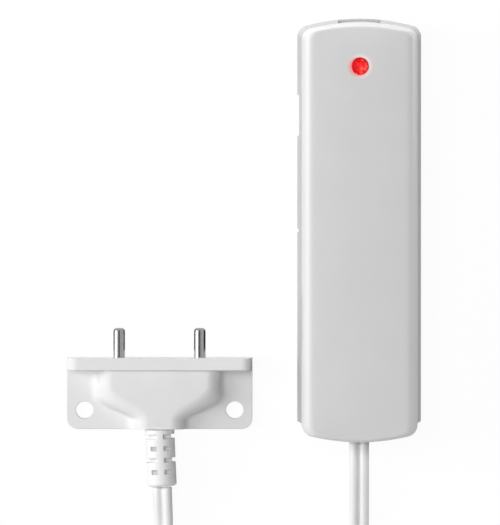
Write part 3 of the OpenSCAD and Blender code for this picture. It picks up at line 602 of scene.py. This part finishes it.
def tie_rows(steps=6):
    """A rounded rectangle round the coil's section in the plane of radius and height, carried along X.
    Rows go out along the inner face and back along the outer one, so the band is closed."""
    inner_r = COIL_R - (COIL_TURNS + 1) * COIL_PITCH - CORE_R - TIE_GAP
    outer_r = COIL_R + CORE_R + TIE_GAP
    low = COIL_AT[2] - 2 * CORE_R - TIE_GAP
    high = COIL_AT[2] + COIL_RISE + 2 * CORE_R + TIE_GAP
    quarter = np.linspace(0, np.pi / 2, steps)
    angles = np.concatenate([quarter + k * np.pi / 2 for k in range(4)])
    signs = np.repeat([[1, 1], [-1, 1], [-1, -1], [1, -1]], steps, axis=0)
    half = np.array([(outer_r - inner_r) / 2, (high - low) / 2])
    middle = np.array([COIL_AT[1] - (inner_r + outer_r) / 2, (low + high) / 2])
    flat_w, face = TIE_HALF_W - TIE_SOFT, TIE_T - TIE_SOFT
    section = [(-TIE_HALF_W, TIE_SOFT), (-flat_w, 0.0), (flat_w, 0.0), (TIE_HALF_W, TIE_SOFT),
               (TIE_HALF_W, face), (flat_w, TIE_T), (-flat_w, TIE_T), (-TIE_HALF_W, face)]
    rows = []
    for x, grow in section:
        corner = (TIE_CORNER + grow) * np.stack([np.cos(angles), np.sin(angles)], -1)
        ring = middle + signs * (half - TIE_CORNER) + corner
        rows.append(np.column_stack([np.full(len(ring), COIL_AT[0] + x), ring]))
    rows.append(rows[0])
    return np.array(rows)


tie = crisp(Shape().grid(tie_rows(), flip=True).piece("tie_band"))
print("tie faces:", len(tie.data.polygons))

# %% [markdown]
# ## The probe's hump
#
# The probe's moulding narrows in an S-curve towards the lead, and its shoulders roll over into the flat
# front. The solid below has that form in flat facets. This skin follows the same rule with finer rows
# and adds the wide fillet at its foot, where the real moulding runs out into the plate.

# %% Skin of the hump
PLATE_T, HUMP_H, HUMP_LOW_Y, HUMP_TOP_Y, HUMP_DIP = 2.4, 8.0, 0.06, 16.25, 0.5
# Half widths at the lead and at the flange, where the widening starts and ends, and its skew
FOOT, FLAT = (7.2, 16.9, 2.4, 9.8, 1.4), (2.9, 12.6, 3.6, 11.8, 1.0)
# The fillet reaches over the plate, and takes over from the shoulder below FILLET_ANGLE.
FILLET_REACH, FILLET_PULL, FILLET_DROP, FILLET_ANGLE = 2.4, 0.8, 0.75, 24.0
# Its border lies SKIN_LIFT over the plate, and a wall below it sinks into the plate.
SKIN_LIFT, SKIN_SINK = 0.012, 0.6


def widening(y, low, high, start, end, skew):
    """From low to high between start and end, eased by 3u^2 - 2u^3, and earlier where skew is over 1."""
    u = 1 - (1 - np.clip((y - start) / (end - start), 0, 1)) ** skew
    return (low + (high - low) * u * u * (3 - 2 * u))[:, None]


def bezier(t, a, b, c, d):
    """A cubic from a to d that leaves towards b and arrives from c."""
    s = 1 - t
    return s ** 3 * a + 3 * s ** 2 * t * b + 3 * s * t ** 2 * c + t ** 3 * d


def hump_rows(n=64, shoulder=18, fillet=14, proud=0.03):
    """Across each row: a fillet from the plate, a quarter ellipse up to the flat, and the same mirrored.
    Along the rows the foot and the flat widen by the same eased rule, the flat later than the foot."""
    y = np.linspace(HUMP_LOW_Y, HUMP_TOP_Y, n)
    foot, flat = widening(y, *FOOT) + proud, widening(y, *FLAT)
    dip = HUMP_DIP * (1 - np.clip(y / FLAT[3], 0, 1)) ** 2
    rise = (HUMP_H - dip - PLATE_T + proud)[:, None]
    a = np.radians(np.linspace(FILLET_ANGLE, 90, shoulder))[None, :]
    x = flat + (foot - flat) * np.cos(a)
    z = PLATE_T + rise * np.sin(a)
    t = np.linspace(0, 1, fillet, endpoint=False)[None, :]
    x0, z0 = x[:, :1], z[:, :1]
    lean = (foot - flat) * np.sin(a[0, 0]) / (rise * np.cos(a[0, 0]))
    drop = FILLET_DROP * (z0 - PLATE_T)
    border, low = foot + FILLET_REACH, np.full(foot.shape, PLATE_T + SKIN_LIFT)
    fillet_x = bezier(t, border, foot + FILLET_PULL, x0 + drop * lean, x0)
    fillet_z = bezier(t, low, low, z0 - drop, z0)
    x, z = np.hstack([border, fillet_x, x]), np.hstack([low - SKIN_SINK, fillet_z, z])
    x, z = np.hstack([x, -x[:, ::-1]]), np.hstack([z, z[:, ::-1]])
    return np.stack([x, np.repeat(y[:, None], x.shape[1], 1), z], -1)


hump_table = hump_rows()
hump = Shape().grid(in_probe(hump_table), start_cap=True, end_cap=True, flip=True)
hump = crisp(hump.piece("hump_skin"), 50)
print("hump skin:", hump_table.shape[:2], "points")

# %% [markdown]
# ## Moulded plastic
#
# White ABS looks plain, but it isn't one flat colour: the tool's texture breaks up its gloss, and the
# resin is a little cloudy. Noise at two sizes drives colour, roughness and a bump a few hundredths of a
# millimetre deep. A Bevel node rounds the normals at edges, as a moulded edge is never sharp.

# %% Plastics
CLOUDS_PER_M, GRAINS_PER_M = 90.0, 5200.0


def soft_edges(place, radius_mm):
    """A normal that is rounded near edges, out to radius_mm."""
    return place.node("ShaderNodeBevel", {"samples": 6}, {"Radius": radius_mm * MM})


def moulded_plastic(name, light, dark, rough, edge_mm=0.25, grain_mm=0.012, coat=0.0, gloss=0.5,
                    painted_light=None):
    """Cloudy colour between dark and light, uneven gloss and a fine tool texture. The last argument, if
    given, is a function that paints light into the colour; an edge_mm of 0 leaves the Bevel node out."""
    material, shader, place = new_finish(name)
    cloud = place.noise(CLOUDS_PER_M, 3.0)
    grain = place.noise(GRAINS_PER_M, 2.0)
    colour = cloud.ramp([(0.3, dark), (0.7, light)])
    if painted_light:
        colour = painted_light(shader, place, colour)
    connect(shader, Base_Color=colour, Roughness=rough - 0.06 + 0.08 * cloud + 0.05 * grain)
    bump = {"Height": grain, "Strength": 0.25, "Distance": grain_mm * MM}
    if edge_mm:
        bump["Normal"] = soft_edges(place, edge_mm)
    connect(shader, Normal=grain.node("ShaderNodeBump", {}, bump))
    constants(shader, IOR=1.5, Coat_Weight=coat, Specular_IOR_Level=gloss)
    return material


def white(v):
    """A neutral grey of linear value v."""
    return (v, v, v)


# Painted light: the lamp's glow on the cover round the lens is painted into the cover's colour and
# emission.
LED_X, LED_WORLD_Y = CASE[0], CASE[1] + LED_Y
RED_REACH, PALE_REACH = 3.0, 3.5
NO_GLOW, PALE_GLOW, PAINTED_RED_LIGHT = (0.0, 0.0, 0.0, 1.0), (0.20, 0.09, 0.09, 1.0), (0.78, 0.24, 0.23, 1.0)


def distance_from(place, x, y):
    """Distance in millimetres from a point of the plan, along X and Y."""
    plan = (1.0 / MM, 1.0 / MM, 0.0)
    flat = place.node("ShaderNodeVectorMath", {"operation": "MULTIPLY"}, {0: place, 1: plan})
    return flat.node("ShaderNodeVectorMath", {"operation": "DISTANCE"}, {0: flat, 1: (x, y, 0.0)}, out=1)


def lamp_halo(shader, place, colour):
    """Painted light round the lens: a red glow painted into the plastic's colour close to it,
    and a pale glow painted as emission further out.
    """
    red = ((RED_REACH - distance_from(place, LED_X - 0.4, LED_WORLD_Y - 0.15)) * 1.6).clamped()
    pale = ((PALE_REACH - distance_from(place, LED_X + 0.1, LED_WORLD_Y)) * 1.5).clamped()
    connect(shader, Emission_Color=mix_colours(pale, NO_GLOW, PALE_GLOW))
    constants(shader, Emission_Strength=1.0)
    return mix_colours(red * 0.85, colour, PAINTED_RED_LIGHT)


case_white = moulded_plastic("case_white", white(0.73), white(0.71), 0.36, gloss=0.5, painted_light=lamp_halo)
# Painted shade: the base is the cover's white plastic, made darker so that its narrow side walls look
# shaded.
base_white_shaded = moulded_plastic("base_white_shaded", white(0.58), white(0.55), 0.62, gloss=0.15)
probe_white = moulded_plastic("probe_white", white(0.85), white(0.82), 0.5, edge_mm=0.4, gloss=0.12)
hump_white = moulded_plastic("hump_white", white(0.85), white(0.82), 0.5, edge_mm=0.0, gloss=0.12)
boot_white = moulded_plastic("boot_white", white(0.90), white(0.85), 0.5, edge_mm=0.2, grain_mm=0.03)
lead_white = moulded_plastic("lead_white", white(0.86), white(0.83), 0.30, edge_mm=0.1, grain_mm=0.006)
tie_white = moulded_plastic("tie_white", white(0.82), white(0.76), 0.5, edge_mm=0.1)
chip_black = moulded_plastic("chip_black", white(0.05), white(0.03), 0.5, edge_mm=0.1)
chip_tan = moulded_plastic("chip_tan", (0.50, 0.36, 0.22), (0.40, 0.28, 0.17), 0.45, edge_mm=0.08)
button_ivory = moulded_plastic("button_ivory", (0.78, 0.75, 0.66), (0.72, 0.69, 0.60), 0.4, edge_mm=0.15)
terminal_green = moulded_plastic("terminal_green", (0.10, 0.38, 0.13), (0.07, 0.30, 0.10), 0.4,
                                 edge_mm=0.15)
cell_jacket = moulded_plastic("cell_jacket", (0.14, 0.24, 0.45), (0.10, 0.18, 0.36), 0.25, edge_mm=0.3,
                              coat=0.3)
print("plastics ready")

# %% [markdown]
# ## Red light, steel and the board
#
# The lens glows: its emission is mottled by the facets of the light pipe, with a painted bright ring near
# its border and a painted shadow rim on the side away from the lamp, where the edge of the cover's hole
# shades it.
# The pins are polished steel with fine turning marks. The board is green solder mask with paler tracks,
# and the clips are tinned sheet.

# %% Lens finish
FACETS_PER_M = 1150.0
# Where the painted shadow rim starts and where the painted bright ring lies, in millimetres from an offset
# centre.
SHADOW_RIM_FROM, BRIGHT_RING_AT = 2.36, 2.05
GLOW_STOPS = [(0.0, (0.22, 0.001, 0.002)), (0.3, (0.62, 0.006, 0.008)),
              (0.65, (0.93, 0.02, 0.018)), (1.0, (1.0, 0.13, 0.10))]
TINT_STOPS = [(0.0, (0.30, 0.004, 0.006)), (1.0, (0.12, 0.0, 0.003))]


def glowing_lens(name="red_lens"):
    """Emission broken into small facets, each of its own tone, with a painted bright ring and a painted
    shadow rim.
    """
    material, shader, place = new_finish(name)
    r = distance_from(place, LED_X, LED_WORLD_Y)
    away = distance_from(place, LED_X - 0.18, LED_WORLD_Y - 0.4)
    cells = {"Vector": place, "Scale": FACETS_PER_M}
    facets = place.node("ShaderNodeTexVoronoi", {"feature": "F1"}, cells, out=0)
    tone = place.node("ShaderNodeTexVoronoi", {"feature": "F1"}, cells, out=1)
    # Painted shade: the glow dims into a dark rim on one side. Painted highlight: a brighter ring near the
    # border.
    rim = ((away - SHADOW_RIM_FROM) * 4.0).clamped()
    ring = (1.0 - away.maths("ABSOLUTE", away - BRIGHT_RING_AT) * 5.0).clamped()
    glow = (0.30 + 0.95 * tone - 0.45 * facets + 0.25 * ring - 1.1 * rim).clamped()
    connect(shader, Emission_Color=glow.ramp(GLOW_STOPS), Base_Color=(r * 0.45).clamped().ramp(TINT_STOPS),
            Normal=bump_from(facets, 0.35, 0.05))
    constants(shader, Roughness=0.25, Emission_Strength=0.9, Specular_IOR_Level=0.25)
    return material


red_lens = glowing_lens()
print("lens finish at", round(LED_X, 2), round(LED_WORLD_Y, 2))

# %% Metals and board
def turned_steel(name, tone, rough, marks=3000.0, along=(0.05, 1.0, 0.05), tint=(1.0, 1.0, 1.0)):
    """Polished metal whose fine marks run round the axis of the rod."""
    light = tuple(tone * t for t in tint)
    dark = tuple(0.94 * c for c in light)
    material, shader, place = new_finish(name)
    stretched = place.node("ShaderNodeMapping", {}, {"Vector": place, "Scale": along})
    mark = stretched.noise(marks, 3.0)
    connect(shader, Base_Color=mark.ramp([(0.3, dark), (0.7, light)]), Roughness=rough + 0.08 * mark,
            Normal=bump_from(mark, 0.12, 0.004))
    constants(shader, Metallic=1.0)
    return material


def solder_mask(name="board_green"):
    """Green mask over paler tracks: the borders of a cell pattern are where copper runs below it."""
    material, shader, place = new_finish(name)
    cells = place.node("ShaderNodeTexVoronoi", {"feature": "DISTANCE_TO_EDGE", "distance": "EUCLIDEAN"},
                       {"Vector": place, "Scale": 420.0}, out=0)
    track = 1.0 - (cells * 9.0).clamped()
    connect(shader, Base_Color=track.ramp([(0.0, (0.012, 0.11, 0.035)), (1.0, (0.03, 0.20, 0.07))]),
            Roughness=0.28 + 0.12 * track, Normal=bump_from(track, 0.3, 0.03))
    return material


pin_steel = turned_steel("pin_steel", 0.46, 0.07)
tinned_steel = turned_steel("tinned_steel", 0.66, 0.28, 900.0, (1.0, 1.0, 1.0))
brass_strip = turned_steel("brass_strip", 0.8, 0.25, 900.0, (1.0, 1.0, 1.0), (1.0, 0.74, 0.38))
board_green = solder_mask()
print("metals and board ready")

# %% [markdown]
# ## Dressing the pieces
#
# Solids whose shape is already right keep it and take a finish. The smooth skins made above stand in
# for the faceted solids of the same name, so each of them rides on that solid's body.

# %% Finishes on the solids and the skins
# The finish of each material slot, and of the two nodes that differ from their slot
FINISH = {"case_white": case_white, "probe_white": probe_white, "lead_white": lead_white,
          "red_lens": red_lens, "pin_steel": pin_steel, "tinned_steel": tinned_steel,
          "board_green": board_green, "chip_black": chip_black, "chip_tan": chip_tan,
          "brass_strip": brass_strip, "cell_jacket": cell_jacket, "button_ivory": button_ivory,
          "terminal_green": terminal_green}
OWN_FINISH = {"rear_base": base_white_shaded, "probe_strain_relief": boot_white}
node_slot = {row["node"]: row["material_slot"] for row in frame["record"]["subparts"]}


def give_finish(piece, material):
    """One material over the whole piece."""
    piece.data.materials.clear()
    piece.data.materials.append(material)


for node, solid in frame["nodes"].items():
    give_finish(solid, OWN_FINISH.get(node, FINISH[node_slot[node]]))


def stand_in(piece, body, slot, material, *nodes):
    """A skin with its finish, on the body of the solids that it stands for."""
    give_finish(piece, material)
    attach(piece, body)
    if nodes:
        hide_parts(*nodes)


stand_in(cover, "cover", "case_white", case_white, "front_cover")
stand_in(lens, "cover", "red_lens", red_lens, "light_pipe")
stand_in(lead, "base", "lead_white", lead_white, "cable_transmitter_run", "cable_coil", "cable_probe_run")
stand_in(tie, "base", node_slot["cable_tie"], tie_white, "cable_tie")
stand_in(hump, "base", "probe_white", hump_white)
for node, pin in pins.items():
    stand_in(pin, "base", "pin_steel", pin_steel, node)
print("finishes on", len(frame["nodes"]), "solids")

# %% [markdown]
# ## Floor and light
#
# The picture has a white ground with no shadow to speak of, and its light comes from the left. The floor
# is pale paint that keeps the shadow, and the camera and the polished pins see it as white. A broad key
# lamp on the left and a soft one above do most of the work, three small low lamps lift both ends of the
# transmitter and the right-hand sides, and the world fills in from all round.

# %% Floor
def white_to_the_eye(tree, plain, share, mirrored, strength):
    """The plain shader for lamps' light. The camera sees a share of white instead, mirrors and glass see
    a share of their own, and what is left of the plain shader keeps the shadow."""
    rays = tree.nodes.new("ShaderNodeLightPath").outputs
    kinds = ("Camera", "Glossy", "Transmission")
    camera_ray, glossy_ray, glass_ray = (Field(tree, rays["Is %s Ray" % kind]) for kind in kinds)
    seen = camera_ray * share + camera_ray.maths("MAXIMUM", glossy_ray, glass_ray) * mirrored
    glow = seen.node("ShaderNodeEmission", {}, {"Strength": strength})
    return seen.node("ShaderNodeMixShader", {}, {0: seen, 1: plain, 2: glow})


def add_floor(half=3000.0, below=0.02):
    """A level square just below the object."""
    at = np.array([[-1, -1], [1, -1], [1, 1], [-1, 1]]) * half
    floor = make_piece("floor", np.column_stack([at, np.full(4, -below)]), [[0, 1, 2, 3]], smooth=False)
    material, shader, place = new_finish("floor_paint")
    connect(shader, Base_Color=place.noise(6.0).ramp([(0.3, white(0.55)), (0.7, white(0.57))]))
    constants(shader, Roughness=0.9)
    tree = material.node_tree
    mixed = white_to_the_eye(tree, Field(tree, shader.outputs[0]), 0.88, 0.6, 1.07)
    tree.links.new(mixed.socket, tree.nodes["Material Output"].inputs["Surface"])
    give_finish(floor, material)


add_floor()
print("floor laid")

# %% World and lamps
WORLD_FILL = 0.18
LAMP_AIM = Vector((0.0, -0.02, 0.0))


def add_world():
    """An even fill, white where the eye or a mirror meets it."""
    world = bpy.data.worlds.new("studio")
    bpy.context.scene.world = world
    world.use_nodes = True
    tree = world.node_tree
    fill = Field(tree, tree.nodes["Background"].outputs[0])
    tree.nodes["Background"].inputs["Color"].default_value = (1.0, 1.0, 1.0, 1.0)
    tree.nodes["Background"].inputs["Strength"].default_value = WORLD_FILL
    mixed = white_to_the_eye(tree, fill, 1.0, 0.6, 1.0)
    tree.links.new(mixed.socket, tree.nodes["World Output"].inputs["Surface"])


def add_lamp(name, at, size, power):
    """A soft lamp of two sides, at a place in metres, turned to the middle of the object."""
    data = bpy.data.lights.new(name, "AREA")
    data.shape, data.energy = "RECTANGLE", power
    data.size, data.size_y = size
    lamp = bpy.data.objects.new(name, data)
    bpy.context.scene.collection.objects.link(lamp)
    lamp.location = at
    lamp.visible_camera = False
    lamp.rotation_euler = (Vector(at) - LAMP_AIM).to_track_quat("Z", "Y").to_euler()
    return lamp


add_world()
# Place and size in metres, power in watts
LAMPS = {"key_lamp": ((-1.05, 0.15, 0.54), (0.5, 0.75), 9.0),
         "fill_lamp": ((-0.20, 0.05, 1.1), (0.6, 0.6), 5.3),
         "end_lamp": ((0.0, 0.40, 0.03), (0.12, 0.06), 0.88),
         "foot_lamp": ((0.031, -0.40, 0.06), (0.10, 0.10), 0.28),
         "side_lamp": ((0.40, 0.10, 0.05), (0.10, 0.10), 0.42)}
lamps = {name: add_lamp(name, *how) for name, how in LAMPS.items()}
# Their reflections would show as bright patches on the cover.
for name in ("fill_lamp", "end_lamp", "foot_lamp"):
    lamps[name].visible_glossy = False
print("lamps:", {name: lamp.data.energy for name, lamp in lamps.items()})

# %% [markdown]
# ## Cards for the polished pins
#
# Polished steel shows its surroundings, so a studio sets dark cards where a rod would else look white
# all over. One hangs overhead, and a low flag and strips on the floor draw the dark lines along the pins'
# edges; the strips are painted shade, dark sheets that stand for the floor's shadow round the pins in
# their reflections. Two more hold back soft light, as black flags do: a large one on the right, and a low
# one beside the transmitter. The camera sees none of them.

# %% Studio cards
BLACK, PIN_Y0, PIN_Y1 = 0.03, -26.5, -12.0


def upright(x, y0, y1, height):
    """Corners of a card that stands on the floor and faces along X."""
    return [[x, y0, 0], [x, y1, 0], [x, y1, height], [x, y0, height]]


def level(x0, x1, y0, y1, z):
    """Corners of a card that lies or hangs level."""
    return [[x0, y0, z], [x1, y0, z], [x1, y1, z], [x0, y1, z]]


def add_card(name, corners, tone, mirrored=True):
    """A flat card through four corners in millimetres: mirrors see it, or it holds back soft light."""
    card = make_piece(name, np.array(corners, float), [[0, 1, 2, 3]], smooth=False)
    material, shader, place = new_finish(name)
    connect(shader, Base_Color=place.noise(4.0).ramp([(0.3, white(tone)), (0.7, white(tone * 1.1))]))
    constants(shader, Roughness=0.9)
    give_finish(card, material)
    card.visible_camera = card.visible_shadow = card.visible_transmission = False
    card.visible_glossy, card.visible_diffuse = mirrored, not mirrored


add_card("card_overhead", level(-230, 120, -700, 700, 900), 0.04)
add_card("card_right", upright(600, -900, 900, 1200), 0.10, mirrored=False)
add_card("card_between", upright(8, -52, -27, 14), BLACK, mirrored=False)
add_card("flag_low", upright(12, PIN_Y0, PIN_Y1, 10.5), BLACK)
# Painted shade: dark strips on the floor round the pins, seen only in reflections, where the floor is in
# shadow.
for name, x0, x1 in (("strip_far", -50, -40), ("strip_left", -29, -16), ("strip_right", -5, 12)):
    add_card(name, level(x0, x1, PIN_Y0, PIN_Y1, 0.05), BLACK)
print("cards set")

# %% [markdown]
# ## The end of the scene

# %% End
print("scene dressed")
